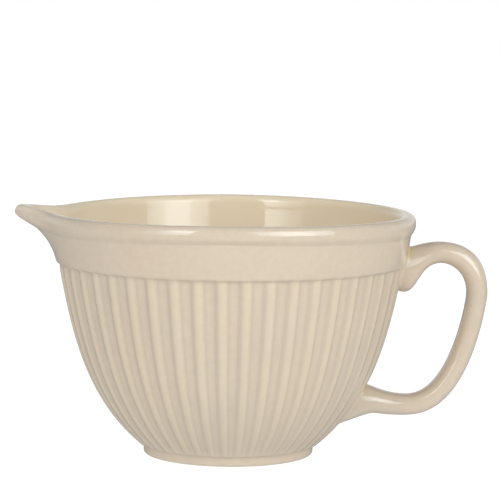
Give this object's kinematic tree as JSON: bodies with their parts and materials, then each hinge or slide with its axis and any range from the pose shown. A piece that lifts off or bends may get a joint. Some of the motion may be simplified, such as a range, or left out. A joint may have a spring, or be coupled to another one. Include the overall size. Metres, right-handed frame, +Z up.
{
  "type": "batter bowl",
  "caption": "Glazed earthenware batter bowl with a reeded wall, a plain band under a rolled rim, a pouring lip and a luted-on loop handle.",
  "frame": {"origin": "on the table under the middle of the whole object; the bowl's axis stands at x = -0.0115", "axes": "+Z up, along the bowl's axis; +X towards the handle; -X towards the pouring lip"},
  "size_m": [0.2686, 0.2088, 0.1408],
  "materials": {
    "body_glaze": "glossy warm cream glaze over pale earthenware",
    "handle_glaze": "glossy warm cream glaze over pale earthenware",
    "slip_glaze": "glossy cream glaze, pooled a little yellower over the slip"
  },
  "bodies": {
    "root": {"bowl": "body_glaze", "handle": "handle_glaze", "upper_handle_joint": "slip_glaze", "lower_handle_joint": "slip_glaze"}
  },
  "joints": []
}
